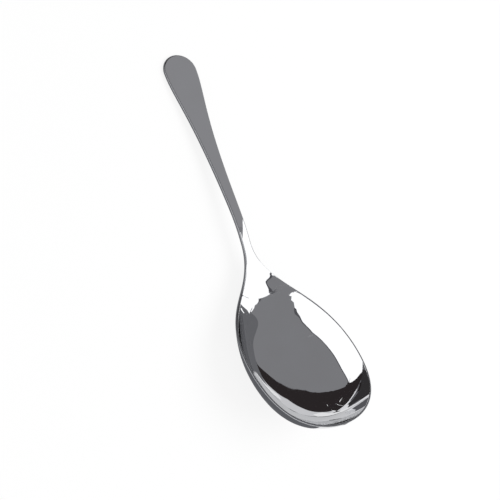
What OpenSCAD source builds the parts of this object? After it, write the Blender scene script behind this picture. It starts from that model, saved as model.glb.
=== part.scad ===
// Serving spoon, pressed in one piece from stainless steel sheet.
// A narrow flat handle lifts out of a wide egg-shaped bowl through a slim neck.
//
// The shape is drawn on the plane of the bowl's rim: y runs from the butt to the tip, x across,
// z up from the rim. Stations along y carry a half width, and the upper skin is a smooth surface
// over them. The underside is that skin set off square to itself by the wall, and a rounded edge
// runs all the way round. The whole is then tipped until the belly and the butt touch the table.

/* [Overall] */
// Length from the butt to the tip, along the plane of the rim
spoon_len = 240; // [215:1:290]

/* [Bowl] */
// Widest part of the bowl, inside its rounded rim
bowl_w = 77; // [60:1:90]
// Depth of the bowl below its rim
bowl_depth = 22.5; // [14:0.5:28]
// From the widest station to the tip
widest_to_tip = 44; // [36:1:54]
// From the narrowest station of the neck to the widest station of the bowl
flare_len = 78; // [62:1:95]
// How much blunter the tip is than an ellipse
tip_blunt_share = 0.17; // [0:0.01:0.3]
// Fullness of the walls: 1 is a parabola, more stands the walls up and flattens the floor
wall_full_share = 1.85; // [1:0.05:1.95]
// From the narrowest station of the neck to where the hollow starts
hollow_start = 12; // [0:0.5:18]
// Part of the flare over which the hollow then deepens
hollow_run_share = 0.55; // [0.3:0.05:0.7]

/* [Handle outline] */
// Widest part of the handle, near its butt
butt_w = 22.2; // [16:0.2:28]
// From the butt to the handle's widest station
butt_round = 9.4; // [7:0.2:16]
// Narrowest part of the neck, inside its rounded edges
neck_w = 4.7; // [4:0.1:9]
// Length of the curve that starts the taper, as part of the taper
taper_start_share = 0.167; // [0.1:0.01:0.4]
// Length of the curve that ends the taper, as part of the taper
taper_end_share = 0.736; // [0.3:0.01:0.8]
// Length of the curve that starts the flare, as part of the flare
flare_start_share = 0.332; // [0.25:0.01:0.5]

/* [Side profile] */
// Rise of the straight handle over the rim for each unit of its length
handle_rise_share = 0.276; // [0.1:0.01:0.35]
// From the tip to where the handle's line leaves the rim
lift_to_tip = 86.2; // [78:0.2:100]
// Softness of the bend there
lift_bend = 6.8; // [4:0.1:12]
// Height of the step that the neck adds
neck_step = 4.45; // [0:0.05:8]
// From the tip to the middle of that step
step_to_tip = 123; // [112:1:130]
// Softness of the step
step_bend = 5.6; // [4:0.1:10]
// Upward curl of the butt over the handle's line
butt_curl = 1.7; // [0:0.1:5]

/* [Metal] */
// Thickness along the middle of the butt
butt_t = 2.3; // [1.6:0.1:3.5]
// Thickness along the middle of the neck
neck_t = 2.9; // [2:0.1:4]
// Thickness in the middle of the bowl
bowl_t = 1.7; // [1.2:0.1:2.5]
// Thickness at the edge of the butt; the same as in its middle leaves its underside flat
butt_edge_t = 2.3; // [1.4:0.1:3]
// Thickness at the edge of the neck
neck_edge_t = 2.5; // [1.6:0.1:3.5]
// Thickness at the rim of the bowl
rim_t = 1.3; // [0.9:0.1:2]
// Roundness of the edge: 1 is a half circle, 0 is cut square
edge_round_share = 0.7; // [0.3:0.05:1]

/* [Hidden] */

// Stations in each stretch, columns across and steps round the edge. The columns are odd, so a
// strip runs down the middle and the belly rests on it.
butt_steps = 8;
taper_steps = 20;
flare_steps = 28;
tip_steps = 18;
cols = 25;
edge_steps = 6;

half_butt = butt_w / 2;
half_neck = neck_w / 2;
half_bowl = bowl_w / 2;
widest_y = spoon_len - widest_to_tip;
neck_y = widest_y - flare_len;
taper_len = neck_y - butt_round;
// The flare arrives at the widest station with the tip's own curvature, so no crease shows there
flare_end_share = sqrt(2 / 3 * (half_bowl - half_neck) / (half_bowl * (1 - 2 * tip_blunt_share)))
    * widest_to_tip / flare_len;

// Stations: [y, half width w, w times its slope dw/dy]. The last stays finite at both round ends.
function butt_station(a) = [
    butt_round * (1 - cos(a)),
    half_butt * sin(a),
    half_butt * half_butt * cos(a) / butt_round
];
function tip_fullness(u) = 1 + tip_blunt_share * u * u;
function tip_station(a) = let (u = sin(a), f = tip_fullness(u)) [
    widest_y + widest_to_tip * u,
    half_bowl * cos(a) * f,
    half_bowl * half_bowl * u * f * (2 * tip_blunt_share * (1 - u * u) - f) / widest_to_tip
];
// A cubic from width h0 to h1 that leaves and arrives along y, with handles p and q
function curve_station(t, y0, len, h0, h1, p, q) =
    let (
        y = y0 + len * (3 * p * t * (1 - t) * (1 - t) + 3 * (1 - q) * t * t * (1 - t) + t * t * t),
        dy = len * (3 * p * (1 - t) * (1 - t) + 6 * (1 - q - p) * t * (1 - t) + 3 * q * t * t),
        w = h0 + (h1 - h0) * t * t * (3 - 2 * t),
        dw = (h1 - h0) * 6 * t * (1 - t)
    )
    [y, w, w * dw / dy];

stations = concat(
    [for (i = [0 : butt_steps - 1]) butt_station(90 * i / butt_steps)],
    [for (i = [0 : taper_steps - 1])
        curve_station(i / taper_steps, butt_round, taper_len, half_butt, half_neck,
            taper_start_share, taper_end_share)],
    [for (i = [0 : flare_steps - 1])
        curve_station(i / flare_steps, neck_y, flare_len, half_neck, half_bowl,
            flare_start_share, flare_end_share)],
    [for (i = [0 : tip_steps]) tip_station(90 * i / tip_steps)]
);
last = len(stations) - 1;

// Smooth step from 0 to 1 with level ends, and its slope
function held(v) = min(1, max(0, v));
function step_of(v) = let (x = held(v)) x * x * x * (10 - 15 * x + 6 * x * x);
function step_slope(v) = let (x = held(v)) 30 * x * x * (1 - x) * (1 - x);

// Side profile of the edge: a line that bends into the rim, a soft step at the neck, a curl
function soft(v) = min(50, max(-50, v));
function lift_arg(y) = soft((spoon_len - lift_to_tip - y) / lift_bend);
function step_part(y) = 1 / (1 + exp(soft((y - spoon_len + step_to_tip) / step_bend)));
function curl_part(y) = max(0, (neck_y - y) / neck_y);
function edge_z(y) =
    handle_rise_share * lift_bend * ln(1 + exp(lift_arg(y)))
    + neck_step * step_part(y)
    + butt_curl * pow(curl_part(y), 3);
function edge_slope(y) =
    -handle_rise_share / (1 + exp(-lift_arg(y)))
    - neck_step * step_part(y) * (1 - step_part(y)) / step_bend
    - 3 * butt_curl * pow(curl_part(y), 2) / neck_y;

// Hollow: e is 0 on the outline and 1 in the middle of the widest station
function hollow(e) = wall_full_share * e + (1 - wall_full_share) * e * e;
function hollow_slope(e) = wall_full_share + 2 * (1 - wall_full_share) * e;
hollow_run = flare_len * hollow_run_share;
function level(s, x) = (s[1] * s[1] - x * x) / (half_bowl * half_bowl);
function run_at(y) = (y - neck_y - hollow_start) / hollow_run;

function top_point(s, x) =
    [x, s[0], edge_z(s[0]) - bowl_depth * step_of(run_at(s[0])) * hollow(level(s, x))];
function unit(v) = v / norm(v);
function top_normal(s, x) =
    let (
        e = level(s, x),
        steep = bowl_depth * step_of(run_at(s[0])) * hollow_slope(e) * 2 / (half_bowl * half_bowl),
        dx = steep * x,
        deeper = bowl_depth * step_slope(run_at(s[0])) / hollow_run,
        dy = edge_slope(s[0]) - deeper * hollow(e) - steep * s[2]
    )
    unit([-dx, -dy, 1]);

// Wall: three thicknesses along the middle and three along the edge, blended down the spoon
function blend(y, a, b, c) =
    a + (b - a) * step_of(y / neck_y) + (c - b) * step_of((y - neck_y) / flare_len);
function wall(y, across) =
    let (rim = blend(y, butt_edge_t, neck_edge_t, rim_t))
    rim + (blend(y, butt_t, neck_t, bowl_t) - rim) * (1 - across * across);

// Rounded edge: half an ellipse from the upper skin's edge to the lower skin's edge
function edge_point(s, side, turn) =
    let (
        n = top_normal(s, side * s[1]),
        along = [side * s[2], s[1], s[1] * edge_slope(s[0])],
        out = side * unit(cross(along, n)),
        r = wall(s[0], 1) / 2
    )
    top_point(s, side * s[1]) + r * (n * (cos(turn) - 1) + out * edge_round_share * sin(turn));

// Vertices: the rings round the outline, then the inner points of both skins
loop_stations = concat([for (i = [0 : last]) [i, 1]], [for (i = [last - 1 : -1 : 1]) [i, -1]]);
loop = len(loop_stations);
edge_rings = [for (k = [0 : edge_steps]) for (p = loop_stations)
    edge_point(stations[p[0]], p[1], 180 * k / edge_steps)];
function across(j) = sin(180 * j / cols - 90);
function under_point(s, a) = top_point(s, a * s[1]) - wall(s[0], a) * top_normal(s, a * s[1]);
top_inner = [for (i = [1 : last - 1]) for (j = [1 : cols - 1])
    top_point(stations[i], across(j) * stations[i][1])];
under_inner = [for (i = [1 : last - 1]) for (j = [1 : cols - 1])
    under_point(stations[i], across(j))];
drawn = concat(edge_rings, top_inner, under_inner);

// Rest on the table: tip about x until the lowest points of handle and bowl are level
function tip_y(p, a) = p[1] * cos(a) - p[2] * sin(a);
function tip_z(p, a) = p[1] * sin(a) + p[2] * cos(a);
handle_pts = [for (p = drawn) if (p[1] < neck_y) p];
bowl_pts = [for (p = drawn) if (p[1] >= neck_y) p];
function lowest(pts, a) = let (zs = [for (p = pts) tip_z(p, a)], low = min(zs))
    [for (i = [0 : len(pts) - 1]) if (zs[i] == low) pts[i]][0];
function settle(a, n) = n == 0 ? a :
    let (h = lowest(handle_pts, a), b = lowest(bowl_pts, a))
    settle(atan2(h[2] - b[2], b[1] - h[1]), n - 1);
rest_angle = settle(0, 8);
tipped = [for (p = drawn) [p[0], tip_y(p, rest_angle), tip_z(p, rest_angle)]];
low_z = min([for (p = tipped) p[2]]);
mid_y = (min([for (p = tipped) p[1]]) + max([for (p = tipped) p[1]])) / 2;
skin_points = [for (p = tipped) p - [0, mid_y, low_z]];

// Faces, with every quad cut in two
function in_loop(i, j) = j == cols ? i : (i == 0 || i == last) ? i : loop - i;
inner_start = [loop * (edge_steps + 1), loop * (edge_steps + 1) + len(top_inner)];
function vertex(skin, i, j) =
    (i == 0 || i == last || j == 0 || j == cols)
        ? skin * loop * edge_steps + in_loop(i, j)
        : inner_start[skin] + (i - 1) * (cols - 1) + j - 1;
function flip(f, yes) = yes ? [f[2], f[1], f[0]] : f;
function skin_faces(skin) = [for (i = [0 : last - 1]) for (j = [0 : cols - 1])
    let (
        a = vertex(skin, i, j),
        b = vertex(skin, i, j + 1),
        c = vertex(skin, i + 1, j + 1),
        d = vertex(skin, i + 1, j)
    )
    each concat(
        i == 0 ? [] : [flip([c, b, a], skin == 1)],
        i == last - 1 ? [] : [flip([d, c, a], skin == 1)]
    )];
edge_faces = [for (k = [0 : edge_steps - 1]) for (p = [0 : loop - 1])
    let (
        q = (p + 1) % loop,
        a = k * loop + p,
        b = k * loop + q,
        c = (k + 1) * loop + q,
        d = (k + 1) * loop + p
    )
    each [[a, b, c], [a, c, d]]];

module spoon() {
    color("silver")
        polyhedron(
            points = skin_points,
            faces = concat(skin_faces(0), skin_faces(1), edge_faces),
            convexity = 6
        );
}

spoon();
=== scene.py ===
# Serving spoon, pressed in one piece from 18/10 stainless steel and mirror polished.
import math

import bpy
from mathutils import Matrix, Vector


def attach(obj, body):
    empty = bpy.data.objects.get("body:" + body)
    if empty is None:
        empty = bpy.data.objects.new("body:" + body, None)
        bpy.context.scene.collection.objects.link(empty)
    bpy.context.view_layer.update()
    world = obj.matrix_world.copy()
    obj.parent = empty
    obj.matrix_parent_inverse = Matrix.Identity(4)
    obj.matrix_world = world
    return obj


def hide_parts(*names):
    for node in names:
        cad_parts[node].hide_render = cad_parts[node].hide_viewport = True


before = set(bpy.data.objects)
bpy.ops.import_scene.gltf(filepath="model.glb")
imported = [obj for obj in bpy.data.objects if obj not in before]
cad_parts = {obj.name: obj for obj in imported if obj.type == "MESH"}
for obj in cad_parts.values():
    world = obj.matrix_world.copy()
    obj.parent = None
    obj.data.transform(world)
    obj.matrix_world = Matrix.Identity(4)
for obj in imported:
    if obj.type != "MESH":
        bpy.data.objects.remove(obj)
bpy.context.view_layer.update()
mm = 0.001
scene = bpy.context.scene
scene.view_settings.view_transform = "Standard"
print("frame loaded")


# Small helpers
def addNode(tree, kind, settings=None, links=None):
    # settings are the node's own properties; links are sockets or plain values, by input
    node = tree.nodes.new(kind)
    for name, value in (settings or {}).items():
        setattr(node, name, value)
    for key, value in (links or {}).items():
        if isinstance(value, bpy.types.NodeSocket):
            tree.links.new(value, node.inputs[key])
        else:
            node.inputs[key].default_value = value
    return node


def linear(code):
    # "#rrggbb" in sRGB to the linear colour that the sockets want
    parts = [int(code[i:i + 2], 16) / 255 for i in (1, 3, 5)]
    parts = [c / 12.92 if c <= 0.04045 else ((c + 0.055) / 1.055) ** 2.4 for c in parts]
    return (*parts, 1.0)


def link(name, data):
    made = bpy.data.objects.new(name, data)
    scene.collection.objects.link(made)
    return made


# Camera
view = {
    "place": (0.55500, 0.09227, 0.72006),  # metres, in the spoon's frame
    "right": (-0.76611337, 0.30803905, 0.56407645),
    "up": (-0.18791278, -0.94666539, 0.2617507),
    "back": (0.61462109, 0.09453353, 0.78313749),
    "lens": 109.145,  # mm, as the next one
    "sensor": 36,
    "nearest": 0.05,  # metres, as the next one
    "farthest": 50,
}
camera = link("camera", bpy.data.cameras.new("camera"))
camera.data.sensor_width = view["sensor"]
camera.data.lens = view["lens"]
camera.data.clip_start, camera.data.clip_end = view["nearest"], view["farthest"]
axes = Matrix((view["right"], view["up"], view["back"])).transposed().to_4x4()
camera.matrix_world = Matrix.Translation(view["place"]) @ axes
scene.camera = camera
print("camera placed")


# Spoon
spoonSizes = {  # mm; all but the last two are measured before the spoon is tipped
    "Length": 240, "Bowl width": 77, "Bowl depth": 22.5, "Widest to tip": 44,
    "Flare length": 78, "Hollow start": 12, "Butt width": 22.2, "Butt round": 9.4,
    "Neck width": 4.7, "Lift to tip": 86.2, "Lift bend": 6.8, "Neck step": 4.45,
    "Step to tip": 123, "Step bend": 5.6, "Butt curl": 1.7, "Butt thickness": 2.3,
    "Neck thickness": 2.9, "Bowl thickness": 1.7, "Butt edge": 2.3, "Neck edge": 2.5,
    "Rim": 1.3, "Butt to middle": 102.768, "Rim to table": 42.7976,
}
spoonShares = {
    "Tip bluntness share": 0.17, "Wall fullness share": 1.85, "Hollow run share": 0.55,
    "Taper start share": 0.167, "Taper end share": 0.736, "Flare start share": 0.332,
    "Handle rise share": 0.276, "Edge roundness share": 0.7,
}
restTilt = math.radians(21.90082)  # belly and butt on the table
seamGap = 2e-7  # metres; points closer than this join, which closes the seams and the poles
rowsOf = {"butt": 36, "taper": 96, "flare": 172, "tip": 116}  # along the spoon
stepsOf = {"top": 80, "rightEdge": 14, "under": 80, "leftEdge": 14}  # round its section

# Each line: a new value, the Math operation, and what it works on. Here y runs along the
# spoon from the butt, half is half its width there, and a name that ends in Part is a share
# from 0 to 1.
outlineLines = [
    ("halfButt", "MULTIPLY", "Butt width", 0.5),
    ("halfNeck", "MULTIPLY", "Neck width", 0.5),
    ("halfBowl", "MULTIPLY", "Bowl width", 0.5),
    ("widestAt", "SUBTRACT", "Length", "Widest to tip"),
    ("neckAt", "SUBTRACT", "widestAt", "Flare length"),
    ("taperLength", "SUBTRACT", "neckAt", "Butt round"),
    ("buttToNeck", "SUBTRACT", "halfNeck", "halfButt"),
    ("neckToBowl", "SUBTRACT", "halfBowl", "halfNeck"),
    # the flare arrives with the tip's own curvature
    ("twoBlunt", "MULTIPLY", "Tip bluntness share", 2),
    ("tipRoom", "SUBTRACT", 1, "twoBlunt"),
    ("tipBend", "MULTIPLY", "halfBowl", "tipRoom"),
    ("flareRatio", "DIVIDE", "neckToBowl", "tipBend"),
    ("flareTwoThirds", "MULTIPLY", "flareRatio", 2 / 3),
    ("flareRoot", "SQRT", "flareTwoThirds"),
    ("tipToFlare", "DIVIDE", "Widest to tip", "Flare length"),
    ("Flare end share", "MULTIPLY", "flareRoot", "tipToFlare"),
    # the two round ends
    ("buttTurn", "MULTIPLY", "buttPart", math.pi / 2),
    ("buttSin", "SINE", "buttTurn"),
    ("buttCos", "COSINE", "buttTurn"),
    ("buttBack", "SUBTRACT", 1, "buttCos"),
    ("tipTurn", "MULTIPLY", "tipPart", math.pi / 2),
    ("tipSin", "SINE", "tipTurn"),
    ("tipCos", "COSINE", "tipTurn"),
    ("tipSquare", "MULTIPLY", "tipSin", "tipSin"),
    ("tipFull", "MULTIPLY_ADD", "tipSquare", "Tip bluntness share", 1),
    ("tipWide", "MULTIPLY", "tipCos", "tipFull"),
    ("tipLoss", "SUBTRACT", "tipWide", 1),
]
for stretch, length, change in (("taper", "taperLength", "buttToNeck"),
                                ("flare", "Flare length", "neckToBowl")):
    outlineLines += [
        (stretch + "Rest", "SUBTRACT", 1, stretch + "Part"),
        (stretch + "Square", "MULTIPLY", stretch + "Part", stretch + "Part"),
        (stretch + "RestSquare", "MULTIPLY", stretch + "Rest", stretch + "Rest"),
        (stretch + "Cross", "MULTIPLY", stretch + "Part", stretch + "Rest"),
        (stretch + "Start", "MULTIPLY", stretch.title() + " start share", 3),
        (stretch + "End", "MULTIPLY", stretch.title() + " end share", 3),
        (stretch + "EndRoom", "SUBTRACT", 3, stretch + "End"),
        (stretch + "Early", "MULTIPLY", stretch + "Start", stretch + "RestSquare"),
        (stretch + "Middle", "MULTIPLY_ADD", stretch + "EndRoom", stretch + "Cross",
         stretch + "Early"),
        (stretch + "Late", "ADD", stretch + "Middle", stretch + "Square"),
        (stretch + "Along", "MULTIPLY", stretch + "Part", stretch + "Late"),
        (stretch + "Mid", "SUBTRACT", stretch + "EndRoom", stretch + "Start"),
        (stretch + "TwoMid", "MULTIPLY", stretch + "Mid", 2),
        (stretch + "RateMid", "MULTIPLY_ADD", stretch + "TwoMid", stretch + "Cross",
         stretch + "Early"),
        (stretch + "Rate", "MULTIPLY_ADD", stretch + "End", stretch + "Square",
         stretch + "RateMid"),
        (stretch + "Run", "MULTIPLY", stretch + "Rate", length),
        (stretch + "SixCross", "MULTIPLY", stretch + "Cross", 6),
        (stretch + "Rise", "MULTIPLY", stretch + "SixCross", change),
        (stretch + "Slope", "DIVIDE", stretch + "Rise", stretch + "Run"),
    ]
outlineLines += [
    ("alongButt", "MULTIPLY", "Butt round", "buttBack"),
    ("alongTaper", "MULTIPLY_ADD", "taperLength", "taperAlong", "alongButt"),
    ("alongFlare", "MULTIPLY_ADD", "Flare length", "flareAlong", "alongTaper"),
    ("y", "MULTIPLY_ADD", "Widest to tip", "tipSin", "alongFlare"),
    ("halfAtButt", "MULTIPLY", "halfButt", "buttSin"),
    ("halfAtTaper", "MULTIPLY_ADD", "buttToNeck", "taperEase", "halfAtButt"),
    ("halfAtFlare", "MULTIPLY_ADD", "neckToBowl", "flareEase", "halfAtTaper"),
    ("half", "MULTIPLY_ADD", "halfBowl", "tipLoss", "halfAtFlare"),
    # half times its own slope along y
    ("buttSquare", "MULTIPLY", "halfButt", "halfButt"),
    ("buttSteep", "DIVIDE", "buttSquare", "Butt round"),
    ("buttSlope", "MULTIPLY", "buttSteep", "buttCos"),
    ("sideSlope", "ADD", "taperSlope", "flareSlope"),
    ("slopeToWidest", "MULTIPLY_ADD", "half", "sideSlope", "buttSlope"),
    ("tipCosSquare", "SUBTRACT", 1, "tipSquare"),
    ("bluntGain", "MULTIPLY", "twoBlunt", "tipCosSquare"),
    ("tipTurnRate", "SUBTRACT", "bluntGain", "tipFull"),
    ("tipTurnFull", "MULTIPLY", "tipTurnRate", "tipFull"),
    ("tipTurnSin", "MULTIPLY", "tipTurnFull", "tipSin"),
    ("bowlSquare", "MULTIPLY", "halfBowl", "halfBowl"),
    ("tipSteep", "DIVIDE", "bowlSquare", "Widest to tip"),
    ("halfSlope", "MULTIPLY_ADD", "tipTurnSin", "tipSteep", "slopeToWidest"),
]
profileLines = [
    # side profile of the edge: the handle's line bends into the level rim, with a step at the
    # neck and a slight curl at the butt
    ("liftAt", "SUBTRACT", "Length", "Lift to tip"),
    ("liftFrom", "SUBTRACT", "liftAt", "y"),
    ("liftArg", "DIVIDE", "liftFrom", "Lift bend"),
    ("liftExp", "EXPONENT", "liftArg"),
    ("liftSum", "ADD", 1, "liftExp"),
    ("liftLog", "LOGARITHM", "liftSum", math.e),
    ("liftScale", "MULTIPLY", "Handle rise share", "Lift bend"),
    ("liftZ", "MULTIPLY", "liftScale", "liftLog"),
    ("stepAt", "SUBTRACT", "Length", "Step to tip"),
    ("stepFrom", "SUBTRACT", "y", "stepAt"),
    ("stepArg", "DIVIDE", "stepFrom", "Step bend"),
    ("stepExp", "EXPONENT", "stepArg"),
    ("stepSum", "ADD", 1, "stepExp"),
    ("stepPart", "DIVIDE", 1, "stepSum"),
    ("stepZ", "MULTIPLY_ADD", "Neck step", "stepPart", "liftZ"),
    ("curlFrom", "SUBTRACT", "neckAt", "y"),
    ("curlShare", "DIVIDE", "curlFrom", "neckAt"),
    ("curl", "MAXIMUM", "curlShare", 0),
    ("curlSquare", "MULTIPLY", "curl", "curl"),
    ("curlCube", "MULTIPLY", "curlSquare", "curl"),
    ("edgeZ", "MULTIPLY_ADD", "Butt curl", "curlCube", "stepZ"),
    # and its slope
    ("liftPart", "DIVIDE", "liftExp", "liftSum"),
    ("liftSlope", "MULTIPLY", "Handle rise share", "liftPart"),
    ("stepRest", "SUBTRACT", 1, "stepPart"),
    ("stepBoth", "MULTIPLY", "stepPart", "stepRest"),
    ("stepSteep", "DIVIDE", "Neck step", "Step bend"),
    ("stepSlope", "MULTIPLY_ADD", "stepSteep", "stepBoth", "liftSlope"),
    ("curlSteep", "DIVIDE", "Butt curl", "neckAt"),
    ("curlThree", "MULTIPLY", "curlSteep", 3),
    ("curlSlope", "MULTIPLY_ADD", "curlThree", "curlSquare", "stepSlope"),
    ("edgeSlope", "MULTIPLY", "curlSlope", -1),
    # section: across runs -1 to 1 over the top and back underneath
    ("acrossSum", "ADD", "topPart", "underPart"),
    ("acrossTurn", "MULTIPLY", "acrossSum", math.pi),
    ("acrossCos", "COSINE", "acrossTurn"),
    ("across", "MULTIPLY", "acrossCos", -1),
    ("edgePart", "SUBTRACT", "rightEdgePart", "leftEdgePart"),
    ("edgeTurn", "MULTIPLY", "edgePart", math.pi),
    ("edgeSin", "SINE", "edgeTurn"),
    ("edgeCos", "COSINE", "edgeTurn"),
    ("x", "MULTIPLY", "across", "half"),
    ("xSquare", "MULTIPLY", "x", "x"),
    ("halfSquare", "MULTIPLY", "half", "half"),
    ("levelSquare", "SUBTRACT", "halfSquare", "xSquare"),
    ("level", "DIVIDE", "levelSquare", "bowlSquare"),
    # hollow: deepens out of the neck; level is 0 on the outline and 1 in the middle, and
    # 30 (t (1 - t))^2 is the slope of the smoother step t
    ("pastHollowAt", "SUBTRACT", "y", "hollowAt"),
    ("hollowRaw", "DIVIDE", "pastHollowAt", "hollowLong"),
    ("hollowCapped", "MINIMUM", "hollowRaw", 1),
    ("hollowShare", "MAXIMUM", "hollowCapped", 0),
    ("hollowRest", "SUBTRACT", 1, "hollowShare"),
    ("hollowCross", "MULTIPLY", "hollowShare", "hollowRest"),
    ("hollowCrossSquare", "MULTIPLY", "hollowCross", "hollowCross"),
    ("hollowBell", "MULTIPLY", "hollowCrossSquare", 30),
    ("deepRate", "DIVIDE", "hollowBell", "hollowLong"),
    ("fullRest", "SUBTRACT", 1, "Wall fullness share"),
    ("fullness", "MULTIPLY_ADD", "fullRest", "level", "Wall fullness share"),
    ("hollow", "MULTIPLY", "fullness", "level"),
    ("twoFullRest", "MULTIPLY", "fullRest", 2),
    ("hollowSlope", "MULTIPLY_ADD", "twoFullRest", "level", "Wall fullness share"),
    ("depth", "MULTIPLY", "Bowl depth", "hollowPart"),
    ("sink", "MULTIPLY", "depth", "hollow"),
    ("topZ", "SUBTRACT", "edgeZ", "sink"),
    ("wallDrop", "MULTIPLY", "depth", "hollowSlope"),
    ("twoWallDrop", "MULTIPLY", "wallDrop", 2),
    ("steep", "DIVIDE", "twoWallDrop", "bowlSquare"),
    ("steepX", "MULTIPLY", "steep", "x"),
    ("normalX", "MULTIPLY", "steepX", -1),
    ("deepSlope", "MULTIPLY", "Bowl depth", "deepRate"),
    ("deepFall", "MULTIPLY", "deepSlope", "hollow"),
    ("alongFall", "MULTIPLY_ADD", "steep", "halfSlope", "deepFall"),
    ("normalY", "SUBTRACT", "alongFall", "edgeSlope"),
    # the edge's own direction, and the wall, which thins from the neck to the rim
    ("tangentX", "MULTIPLY", "across", "halfSlope"),
    ("tangentZ", "MULTIPLY", "half", "edgeSlope"),
    ("neckOverButt", "SUBTRACT", "Neck thickness", "Butt thickness"),
    ("handleMiddle", "MULTIPLY_ADD", "neckOverButt", "handlePart", "Butt thickness"),
    ("bowlOverNeck", "SUBTRACT", "Bowl thickness", "Neck thickness"),
    ("middle", "MULTIPLY_ADD", "bowlOverNeck", "bowlPart", "handleMiddle"),
    ("neckEdgeOverButt", "SUBTRACT", "Neck edge", "Butt edge"),
    ("handleEdge", "MULTIPLY_ADD", "neckEdgeOverButt", "handlePart", "Butt edge"),
    ("rimOverNeck", "SUBTRACT", "Rim", "Neck edge"),
    ("edge", "MULTIPLY_ADD", "rimOverNeck", "bowlPart", "handleEdge"),
    ("acrossSquare", "MULTIPLY", "across", "across"),
    ("inner", "SUBTRACT", 1, "acrossSquare"),
    ("thicker", "SUBTRACT", "middle", "edge"),
    ("wall", "MULTIPLY_ADD", "thicker", "inner", "edge"),
    ("halfWall", "MULTIPLY", "wall", 0.5),
    ("down", "SUBTRACT", "edgeCos", 1),
    ("downWall", "MULTIPLY", "halfWall", "down"),
    ("roundSin", "MULTIPLY", "edgeSin", "Edge roundness share"),
    ("outSide", "MULTIPLY", "roundSin", "across"),
    ("outWall", "MULTIPLY", "halfWall", "outSide"),
]


def workOut(tree, kind, known, lines):
    for name, operation, *terms in lines:
        terms = [known[term] if isinstance(term, str) else term for term in terms]
        made = addNode(tree, kind, {"operation": operation, "label": name},
                       dict(enumerate(terms)))
        known[name] = made.outputs[0]


def growSpoonTree(material):
    tree = bpy.data.node_groups.new("spoonBody", "GeometryNodeTree")
    tree.interface.new_socket("Geometry", in_out="OUTPUT", socket_type="NodeSocketGeometry")
    for name in [*spoonSizes, *spoonShares, "Rest tilt"]:
        tree.interface.new_socket(name, in_out="INPUT", socket_type="NodeSocketFloat")
    known = {socket.name: socket for socket in addNode(tree, "NodeGroupInput").outputs}
    rows, steps = sum(rowsOf.values()), sum(stepsOf.values())
    grid = addNode(tree, "GeometryNodeMeshGrid", None, {
        "Size X": 1.0, "Size Y": 1.0, "Vertices X": steps + 1, "Vertices Y": rows + 1})
    place = addNode(tree, "GeometryNodeInputPosition")
    split = addNode(tree, "ShaderNodeSeparateXYZ", None, {0: place.outputs[0]})
    workOut(tree, "ShaderNodeMath", known, [
        ("along", "ADD", split.outputs["Y"], 0.5), ("round", "ADD", split.outputs["X"], 0.5)])
    # the grid is cut into stretches, each with its own part from 0 to 1
    for source, counts in (("along", rowsOf), ("round", stepsOf)):
        passed, total = 0, sum(counts.values())
        for name, count in counts.items():
            part = addNode(tree, "ShaderNodeMapRange", {"label": name}, {
                "Value": known[source], "From Min": passed / total,
                "From Max": (passed + count) / total})
            known[name + "Part"] = part.outputs[0]
            passed += count
    for name in ("taper", "flare"):
        ease = addNode(tree, "ShaderNodeMapRange", {"interpolation_type": "SMOOTHSTEP"},
                       {"Value": known[name + "Part"]})
        known[name + "Ease"] = ease.outputs[0]
    workOut(tree, "ShaderNodeMath", known, outlineLines)
    workOut(tree, "ShaderNodeMath", known, [
        ("hollowAt", "ADD", "neckAt", "Hollow start"),
        ("hollowLong", "MULTIPLY", "Flare length", "Hollow run share"),
        ("hollowEnd", "ADD", "hollowAt", "hollowLong")])
    for name, low, high in (("handlePart", 0.0, known["neckAt"]),
                            ("bowlPart", known["neckAt"], known["widestAt"]),
                            ("hollowPart", known["hollowAt"], known["hollowEnd"])):
        step = addNode(tree, "ShaderNodeMapRange", {"interpolation_type": "SMOOTHERSTEP"},
                       {"Value": known["y"], "From Min": low, "From Max": high})
        known[name] = step.outputs[0]
    workOut(tree, "ShaderNodeMath", known, profileLines)
    for name, parts in (("topPoint", ("x", "y", "topZ")),
                        ("steepest", ("normalX", "normalY", 1.0)),
                        ("tangent", ("tangentX", "half", "tangentZ")),
                        ("standing", (0.0, "Butt to middle", "Rim to table"))):
        parts = [known[part] if isinstance(part, str) else part for part in parts]
        made = addNode(tree, "ShaderNodeCombineXYZ", None, dict(enumerate(parts)))
        known[name] = made.outputs[0]
    workOut(tree, "ShaderNodeVectorMath", known, [
        ("normal", "NORMALIZE", "steepest"),
        ("square", "CROSS_PRODUCT", "tangent", "normal"),
        ("outward", "NORMALIZE", "square"),
        ("under", "MULTIPLY", "normal", "downWall"),
        ("aside", "MULTIPLY", "outward", "outWall"),
        ("moved", "ADD", "under", "aside"),
        ("flat", "ADD", "topPoint", "moved")])
    tipped = addNode(tree, "ShaderNodeVectorRotate", {"rotation_type": "X_AXIS"},
                     {"Vector": known["flat"], "Angle": known["Rest tilt"]})
    known["tipped"] = tipped.outputs[0]
    workOut(tree, "ShaderNodeVectorMath", known, [("rested", "SUBTRACT", "tipped", "standing")])
    # groundEdge is 1 on the middle of the ground edge and 0 on both skins; it's worked out on
    # the flat grid, so it is stored before the grid is bent
    marked = addNode(tree, "GeometryNodeStoreNamedAttribute",
                     {"data_type": "FLOAT", "domain": "POINT"},
                     {"Geometry": grid.outputs["Mesh"], "Name": "groundEdge",
                      "Value": known["edgeSin"]})
    shaped = addNode(tree, "GeometryNodeSetPosition", None,
                     {"Geometry": marked.outputs[0], "Position": known["rested"]})
    closed = addNode(tree, "GeometryNodeMergeByDistance", None,
                     {"Geometry": shaped.outputs[0], "Distance": seamGap})
    smooth = addNode(tree, "GeometryNodeSetShadeSmooth", None, {"Geometry": closed.outputs[0]})
    whole = addNode(tree, "GeometryNodeRealizeInstances", None, {"Geometry": smooth.outputs[0]})
    dressed = addNode(tree, "GeometryNodeSetMaterial", None,
                      {"Geometry": whole.outputs[0], "Material": material})
    addNode(tree, "NodeGroupOutput", None, {"Geometry": dressed.outputs[0]})
    return tree


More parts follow.
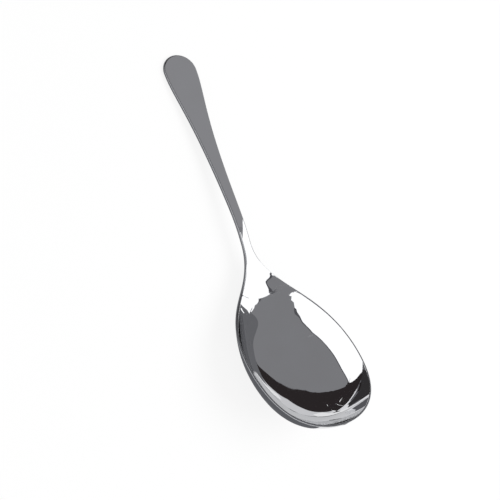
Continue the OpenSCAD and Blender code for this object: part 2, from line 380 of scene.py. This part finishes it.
def pressSpoon(material):
    tree = growSpoonTree(material)
    blank = link("spoonBlank", bpy.data.meshes.new("spoonBlank"))
    modifier = blank.modifiers.new("spoonBody", "NODES")
    modifier.node_group = tree
    values = {name: size * mm for name, size in spoonSizes.items()}
    values.update(spoonShares)
    values["Rest tilt"] = restTilt
    for item in tree.interface.items_tree:
        if item.in_out == "INPUT":
            modifier[item.identifier] = float(values[item.name])
    graph = bpy.context.evaluated_depsgraph_get()
    mesh = bpy.data.meshes.new_from_object(blank.evaluated_get(graph))
    blank.modifiers.remove(modifier)
    bpy.data.objects.remove(blank)
    mesh.name = "spoonBody"
    return link("spoonBody", mesh)


# Materials
# Mirror-polished 18/10 stainless steel, buffed with rouge after pressing: the eye gets a
# sharp, slightly grey mirror image, a trace of the buffing wheel along the spoon, and a
# duller line where the edge was only ground.
steelLook = {
    "body": "#d3d4d6",
    "warm": "#cfcfd0",  # where the polish is a little thinner
    "roughness": 0.018,
    "hazeGain": 1.8,  # how much rougher the wheel marks are
    "hazeFrom": 0.45,  # share of the noise at which a mark starts
    "hazeTo": 0.75,
    "edge": "#929396",  # ground, not polished: greyer and duller
    "edgeRoughness": 0.32,
    "edgeFrom": 0.2,  # groundEdge at which the polish starts to end
    "edgeTo": 0.5,
    "waveSize": 14,  # mm, slow unevenness of the pressing
    "waveHeight": 0.0012,  # mm
    "lineLength": 30,  # mm, wheel marks run along the spoon
    "lineWidth": 0.35,  # mm, coarser than real ones, or they wouldn't show
}


def polishSteel():
    look = steelLook
    material = bpy.data.materials.new("mirrorPolishedSteel")
    material.use_nodes = True
    tree = material.node_tree
    tree.nodes.clear()
    where = addNode(tree, "ShaderNodeTexCoord")
    edge = addNode(tree, "ShaderNodeAttribute", {"attribute_name": "groundEdge"})
    # slow unevenness of the pressing
    wave = addNode(tree, "ShaderNodeTexNoise", None, {
        "Vector": where.outputs["Object"], "Scale": 1 / (look["waveSize"] * mm),
        "Detail": 1.0, "Roughness": 0.4})
    # wheel marks: noise stretched along the spoon
    stretch = addNode(tree, "ShaderNodeMapping", None, {
        "Vector": where.outputs["Object"],
        "Scale": (1 / (look["lineWidth"] * mm), 1 / (look["lineLength"] * mm),
                  1 / (look["lineWidth"] * mm))})
    lines = addNode(tree, "ShaderNodeTexNoise", None, {
        "Vector": stretch.outputs[0], "Scale": 1.0, "Detail": 2.0, "Roughness": 0.6})
    haze = addNode(tree, "ShaderNodeMapRange", None, {
        "Value": lines.outputs["Fac"], "From Min": look["hazeFrom"],
        "From Max": look["hazeTo"], "To Min": look["roughness"],
        "To Max": look["roughness"] * look["hazeGain"]})
    rim = addNode(tree, "ShaderNodeMapRange", None, {
        "Value": edge.outputs["Fac"], "From Min": look["edgeFrom"],
        "From Max": look["edgeTo"]})
    rough = addNode(tree, "ShaderNodeMix", {"data_type": "FLOAT"}, {
        0: rim.outputs[0], 2: haze.outputs[0], 3: look["edgeRoughness"]})
    tone = addNode(tree, "ShaderNodeMix", {"data_type": "RGBA"}, {
        0: wave.outputs["Fac"], 6: linear(look["body"]), 7: linear(look["warm"])})
    colour = addNode(tree, "ShaderNodeMix", {"data_type": "RGBA"}, {
        0: rim.outputs[0], 6: tone.outputs[2], 7: linear(look["edge"])})
    bump = addNode(tree, "ShaderNodeBump", None, {
        "Strength": 1.0, "Distance": look["waveHeight"] * mm, "Height": wave.outputs["Fac"]})
    shader = addNode(tree, "ShaderNodeBsdfPrincipled", None, {
        "Base Color": colour.outputs[2], "Metallic": 1.0, "Roughness": rough.outputs[0],
        "Normal": bump.outputs[0]})
    addNode(tree, "ShaderNodeOutputMaterial", None, {"Surface": shader.outputs[0]})
    return material


spoonBody = pressSpoon(polishSteel())
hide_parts("spoon")
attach(spoonBody, "root")
print("spoon pressed:", len(spoonBody.data.polygons), "faces")


# Studio
studio = {
    "daylight": 0.64,  # the world, as it lights the floor
    "softboxShare": 0.64,  # what the softbox adds to it
    "softboxSize": 1.4,  # metres, as the next two
    "softboxReach": 1.6,
    "softboxFrom": (-0.45, 0.3, 1.0),
    "paper": "#f6f6f6",
    "floorWhite": 0.86,  # share of the floor's white that doesn't take a shadow
    "floorReach": 4,  # metres from the middle
}


def seenWhite(tree):
    # 1 for rays from the camera, off metal and through glass, 0 for the light itself
    path = addNode(tree, "ShaderNodeLightPath")
    first = addNode(tree, "ShaderNodeMath", {"operation": "MAXIMUM"}, {
        0: path.outputs["Is Camera Ray"], 1: path.outputs["Is Glossy Ray"]})
    second = addNode(tree, "ShaderNodeMath", {"operation": "MAXIMUM"}, {
        0: first.outputs[0], 1: path.outputs["Is Transmission Ray"]})
    return second.outputs[0]


world = bpy.data.worlds.new("whiteRoom")
scene.world = world
world.use_nodes = True
world.node_tree.nodes.clear()
level = addNode(world.node_tree, "ShaderNodeMapRange", None, {
    "Value": seenWhite(world.node_tree), "To Min": studio["daylight"], "To Max": 1.0})
sky = addNode(world.node_tree, "ShaderNodeBackground", None, {
    "Color": (1, 1, 1, 1), "Strength": level.outputs[0]})
addNode(world.node_tree, "ShaderNodeOutputWorld", None, {"Surface": sky.outputs[0]})

softbox = link("softbox", bpy.data.lights.new("softbox", "AREA"))
softbox.data.shape = "DISK"
softbox.data.size = studio["softboxSize"]
softbox.data.energy = studio["softboxShare"] * (math.pi * studio["softboxReach"]) ** 2
softbox.location = Vector(studio["softboxFrom"]).normalized() * studio["softboxReach"]
softbox.rotation_euler = softbox.location.to_track_quat("Z", "Y").to_euler()
softbox.visible_glossy = False


def paintFloor():
    material = bpy.data.materials.new("paleFloor")
    material.use_nodes = True
    tree = material.node_tree
    tree.nodes.clear()
    share = addNode(tree, "ShaderNodeMath", {"operation": "MULTIPLY"}, {
        0: seenWhite(tree), 1: studio["floorWhite"]})
    paper = addNode(tree, "ShaderNodeBsdfDiffuse", None, {"Color": linear(studio["paper"])})
    white = addNode(tree, "ShaderNodeEmission", None, {"Color": (1, 1, 1, 1), "Strength": 1.0})
    both = addNode(tree, "ShaderNodeMixShader", None, {
        0: share.outputs[0], 1: paper.outputs[0], 2: white.outputs[0]})
    addNode(tree, "ShaderNodeOutputMaterial", None, {"Surface": both.outputs[0]})
    return material


floorMesh = bpy.data.meshes.new("floor")
reach = studio["floorReach"]
floorMesh.from_pydata([(-reach, -reach, 0), (reach, -reach, 0), (reach, reach, 0),
                       (-reach, reach, 0)], [], [(0, 1, 2, 3)])
floorMesh.materials.append(paintFloor())
link("floor", floorMesh)

# What a mirror polish shows is its surroundings, so cards are hung all round the spoon. The
# camera doesn't see them and they cast no light or shadow on the floor. The note beside each
# card's name says which patch of the spoon's reflection it gives in the main view.
# Far cards are bands on a ball round the bowl: (azimuth, lowest, highest elevation) in
# degrees; azimuth 0 is +X and 90 is +Y, towards the tip. Distances are in metres, and an
# edge, in degrees, is a hem that shows round the card as a line.
bowlMiddle = Vector((0.0, 0.06, 0.02))
hemBehind = 0.01  # metres
cutEvery = 4  # degrees along a band
cutsUp = 8  # faces over its height
farCards = {
    "whiteTent": {  # the white patch on the right inside wall
        "distance": 1.40, "colour": "#ffffff", "strength": 1.6,
        "bands": [(0, -25, 90), (90, -25, 90), (180, -25, 90), (270, -25, 90),
                  (360, -25, 90)]},
    "greyScrim": {  # the grey of the bowl's bottom
        "distance": 0.70, "colour": "#929295", "strength": 1.0,
        "edge": 2.0, "edgeColour": "#626266",
        "bands": [(130, 16, 90), (150, 14, 90), (158, 17, 90), (165, 20, 90), (185, 18, 90),
                  (194, 14, 90), (200, 15, 90), (208, 22, 90), (215, 26, 90), (225, 32, 90),
                  (237, 34, 90), (250, 34, 90), (261.5, 33, 90), (274, 29, 90),
                  (283.4, 22, 90), (291, 12, 90), (296.4, 5, 90), (300.5, 2, 90),
                  (306, 4.7, 90), (311.8, 8.8, 90), (321.7, 17, 90), (334.2, 23.8, 90),
                  (349.8, 34.9, 90), (364.3, 45.3, 90), (380, 49.2, 90), (396, 50.9, 90),
                  (412, 49.2, 90), (429, 49.8, 90), (443, 47.5, 90), (453, 47, 90),
                  (457, 40, 90), (470, 25, 90), (490, 20, 90)]},
    "lightCard": {  # the pale crescent's start, low on the left wall
        "distance": 0.65, "colour": "#ececee", "strength": 1.0,
        "bands": [(188, 0, 16), (203, 0, 16), (209, 0, 22), (214, 0, 26), (217, 0, 26),
                  (223, 0, 22), (238, -3, 13), (248, -3, 6), (256, -4, 1), (262, -5, -3)]},
    "blackFlag": {  # the black band's left half
        "distance": 0.60, "colour": "#332e2f", "strength": 1.0,
        "bands": [(194, 12, 17), (196.7, 12.8, 17.5), (200, 13.4, 20), (203, 13.8, 22.5),
                  (208, 18.5, 26), (215, 24.4, 30.2), (220.5, 22, 34.5), (225, 19, 36.3),
                  (237, 12, 38.2), (250, 1.5, 38.2), (258, -5, 37.2), (261.5, -10, 36.4),
                  (268, -20, 34), (274, -25, 32), (283.4, -25, 25.1), (291, -25, 15),
                  (296.4, -25, 7.5), (301.2, -25, 1.3), (309.9, -25, -4.9), (316.7, -25, -9.9),
                  (319.2, -25, -12.7), (321, -25, -15)]},
}

# Near cards, all in mm: flat ones have corners (x, y) at a height over the table, upright
# ones (y, z) at a place aside from the middle or (x, z) at a place ahead, towards the tip. A
# card that is facing 1 or -1 shows only the side that looks along its own axis that way.
nearCards = {
    "neckCard": {  # the white of the neck and of the hollow's start
        "height": 30, "colour": "#ffffff", "strength": 1.6,
        "corners": [(-17.6, -19), (-15.2, -14), (-13.4, -8), (-11.5, -2), (-10.5, 2),
                    (-10.5, -6), (14, -6), (14, 5), (-3.5, 5), (-3.5, 22), (-5, 22),
                    (-6.5, 25), (-13, 41), (-15, 46), (-15.4, 49), (-13, 54), (-12, 58),
                    (-14.8, 60), (-16.5, 55), (-16.8, 50), (-17.3, 49), (-17.3, 45),
                    (-16.6, 42), (-16.2, 38), (-15.8, 34), (-15.6, 30), (-15.8, 27), (-17, 25),
                    (-19, 23), (-20.5, 21), (-21.5, 18.5), (-23, 17.5), (-22.5, 15), (-19, 9),
                    (-17, 5), (-17.2, -8)]},
    "neckEdge": {  # a dark line at that white's right end
        "height": 30.05, "colour": "#5e5e62", "strength": 1.0,
        "corners": [(-16.6, 42), (-15.6, 36), (-15.2, 33), (-14.9, 28), (-16, 24), (-20, 20),
                    (-23, 17.5), (-23.6, 18.2), (-22.3, 19.2), (-21.3, 21.8), (-19.6, 23.8),
                    (-17.5, 25.8), (-16.4, 27.5), (-16.1, 30), (-16.3, 34), (-17, 38),
                    (-17.4, 42)]},
    "sideCard": {  # the white at the neck's lower left
        "aside": -20, "facing": 1, "colour": "#ffffff", "strength": 1.6,
        "corners": [(33, 25), (31.5, 28.5), (32.5, 30.5), (33.5, 31.8), (35, 32.6), (38, 33.8),
                    (41, 34.3), (44, 34.3), (46.5, 33.8), (49, 32.8), (51.5, 31.5), (53.5, 30),
                    (55, 28.5), (55.6, 26.5), (55.7, 25), (56.6, 22.5), (57.8, 20),
                    (58.5, 18.6), (53, 19.4), (50, 20.1), (46.5, 20.7), (43.5, 22),
                    (40.5, 22.6), (36.8, 22)]},
    "tongueCard": {  # the lowest tongue of that white
        "aside": 4, "facing": 1, "colour": "#ffffff", "strength": 1.6,
        "corners": [(41.5, 12.8), (43, 12.45), (45, 12.4), (46.3, 12.35), (46, 12.75),
                    (44.5, 12.95), (43, 13.4), (41.5, 13.8)]},
    "sideEdge": {  # a dark line below that white
        "aside": -20.05, "facing": 1, "colour": "#5e5e62", "strength": 1.0,
        "corners": [(38, 33.3), (44, 33.8), (49, 32), (53, 29.5), (54.6, 28), (55.3, 28.6),
                    (53.8, 30.3), (51.7, 31.9), (49.2, 33.2), (46.6, 34.2), (44, 34.7),
                    (41, 34.7), (38, 34.2)]},
    "wallCard": {  # the upper end of the right wall's white patch
        "aside": -20, "facing": -1, "colour": "#ffffff", "strength": 1.6,
        "corners": [(38.8, 15), (39.6, 19.2), (42, 21.6), (45, 22.9), (50, 23.6), (56, 24.5),
                    (60, 25.6), (66, 27.4), (66, 19.3), (64, 18.5), (61, 17), (58, 16.1),
                    (53, 15), (50, 13.7), (48, 12), (42, 12)]},
    "rimEdge": {  # a grey line round that end
        "aside": -19.95, "facing": -1, "colour": "#8c8c90", "strength": 1.0,
        "corners": [(38.6, 15), (39.2, 19.5), (41.8, 22.1), (44.9, 23.5), (50, 24.3),
                    (56, 25.2), (60, 26.3), (60, 25.6), (56, 24.5), (50, 23.6), (45, 22.9),
                    (42, 21.6), (39.6, 19.2), (38.8, 15)]},
    "bowlFlag": {  # the black band's right half
        "ahead": 50, "facing": 1, "colour": "#332e2f", "strength": 1.0,
        "corners": [(-29, 17.5), (-29.6, 30), (-29.6, 38), (-29, 43), (-27.6, 47.5),
                    (-25.8, 51), (-24, 52.8), (-20, 51.3), (-15, 48.4), (-8, 43.8), (-2, 38.2),
                    (2, 33.8), (5, 31.5), (8.3, 31.5), (7.8, 29), (9, 26.5), (12, 23),
                    (16, 18.5), (-12, 19), (-14, 17.5)]},
    "bandCard": {  # the white step on the neck and the crescent's right end
        "ahead": 14, "facing": 1, "colour": "#ffffff", "strength": 1.6,
        "corners": [(-40, 14), (12, 14), (17, 20), (19, 24), (-8, 24), (-8, 42), (-40, 56)]},
    "glintCard": {  # the bright crescent at the tip, mirrored twice
        "ahead": 66, "facing": 1, "colour": "#ffffff", "strength": 1.15,
        "corners": [(-36, 24), (-36, 30.5), (-33, 31), (-30.5, 30.5), (-29.8, 29), (-28, 22),
                    (-26, 16), (-24, 12), (-23, 10), (-26, 10.5), (-29, 14), (-32, 18)]},
    "endFlag": {  # the black of the band's right end, mirrored twice
        "ahead": 27, "facing": 1, "colour": "#332e2f", "strength": 1.0,
        "corners": [(4.3, 20.3), (5, 22), (7, 25.5), (9, 29.8), (4, 29.3), (-1, 28.6),
                    (-2, 33), (0, 36), (20, 36), (21, 28), (19.3, 20.3)]},
    "cornerFlag": {  # the dark corner right of the band, mirrored twice
        "height": 30, "colour": "#4a4849", "strength": 1.0,
        "corners": [(-7.5, 27.5), (0, 27), (10, 28), (14, 25), (24, 27), (24, 42), (12, 42),
                    (6, 44), (-4, 33)]},
    "handleCard": {  # the handle's even grey
        "height": 60, "colour": "#a0a0a3", "strength": 1.0,
        "corners": [(-60, -150), (-10, -150), (-10, -15), (-45, -15), (-45, -50), (-60, -50)]},
    "underBowlShade": {  # painted shade: a dark grey sheet just over the table under the bowl, for the floor's shade there as the outside wall mirrors it
        "height": 0.8, "colour": "#68696d", "strength": 1.0,
        "corners": [(-10, 35), (70, 35), (70, 150), (-10, 150)]},
    "underHandleShade": {  # painted shade: a mid grey sheet just over the table under the handle, for the floor's shade there as its ground edge mirrors it
        "height": 0.8, "colour": "#b4b5b8", "strength": 1.0,
        "corners": [(-10, -160), (70, -160), (70, 35), (-10, 35)]},
    "whiteBoard": {  # the lower end of the right wall's white patch
        "height": 0.5, "colour": "#ffffff", "strength": 1.6,
        "corners": [(80, -2), (99, -29), (173, -145), (790, -1141), (1500, -560), (1500, 187),
                    (150, 60)]},
    "blackBoard": {  # the black corner below that end
        "height": 0.5, "colour": "#332e2f", "strength": 1.0,
        "corners": [(2, -48), (-92, -346), (-300, -1500), (525, -1500), (525, -739),
                    (172, -145), (98, -29), (79, -4), (47, -26), (27, -49)]},
}


def paintCard(name, colour, strength, oneSided):
    material = bpy.data.materials.new(name)
    material.use_nodes = True
    tree = material.node_tree
    tree.nodes.clear()
    shown = addNode(tree, "ShaderNodeEmission", None, {
        "Color": linear(colour), "Strength": strength})
    if oneSided:
        side = addNode(tree, "ShaderNodeNewGeometry")
        clear = addNode(tree, "ShaderNodeBsdfTransparent")
        shown = addNode(tree, "ShaderNodeMixShader", None, {
            0: side.outputs["Backfacing"], 1: shown.outputs[0], 2: clear.outputs[0]})
    addNode(tree, "ShaderNodeOutputMaterial", None, {"Surface": shown.outputs[0]})
    return material


def hangCard(name, points, faces, colour, strength, oneSided=False):
    mesh = bpy.data.meshes.new(name)
    mesh.from_pydata(points, [], faces)
    mesh.materials.append(paintCard(name, colour, strength, oneSided))
    card = link(name, mesh)
    card.visible_camera = card.visible_diffuse = card.visible_shadow = False


def bendBands(bands, distance, grow=0.0):
    # a strip on the ball, a little wider all round where grow, in degrees, asks for it
    rows = []
    for first, second in zip(bands, bands[1:]):
        cuts = max(1, round((second[0] - first[0]) / cutEvery))
        rows += [[p + (q - p) * i / cuts for p, q in zip(first, second)] for i in range(cuts)]
    rows.append(list(bands[-1]))
    rows[0][0] -= grow
    rows[-1][0] += grow
    points = []
    for azimuth, low, high in rows:
        low, high = low - grow, min(high + grow, 90)
        for i in range(cutsUp + 1):
            a, e = math.radians(azimuth), math.radians(low + (high - low) * i / cutsUp)
            points.append(bowlMiddle + distance * Vector(
                (math.cos(a) * math.cos(e), math.sin(a) * math.cos(e), math.sin(e))))
    row = cutsUp + 1
    starts = [row * j + i for j in range(len(rows) - 1) for i in range(cutsUp)]
    return points, [(at, at + 1, at + row + 1, at + row) for at in starts]


def turnOf(corners):
    # 1 where the corners run anticlockwise
    area = sum(a[0] * b[1] - b[0] * a[1] for a, b in zip(corners, corners[1:] + corners[:1]))
    return 1 if area > 0 else -1


def standCorners(card):
    # from the card's own two axes to the frame, in metres, the shown side forward
    facing = card.get("facing", 1)
    if "height" in card:
        points = [(x, y, card["height"]) for x, y in card["corners"]]
    elif "aside" in card:
        points = [(card["aside"], y, z) for y, z in card["corners"]]
    else:
        points = [(x, card["ahead"], z) for x, z in card["corners"]]
        facing = -facing
    if turnOf(card["corners"]) != facing:
        points.reverse()
    return [tuple(mm * value for value in point) for point in points]


for name, card in farCards.items():
    hangCard(name, *bendBands(card["bands"], card["distance"]), card["colour"], card["strength"])
    if "edge" in card:
        hem = bendBands(card["bands"], card["distance"] + hemBehind, card["edge"])
        hangCard(name + "Edge", *hem, card["edgeColour"], 1.0)
for name, card in nearCards.items():
    points = standCorners(card)
    hangCard(name, points, [tuple(range(len(points)))], card["colour"], card["strength"],
             "facing" in card)
print("studio set")
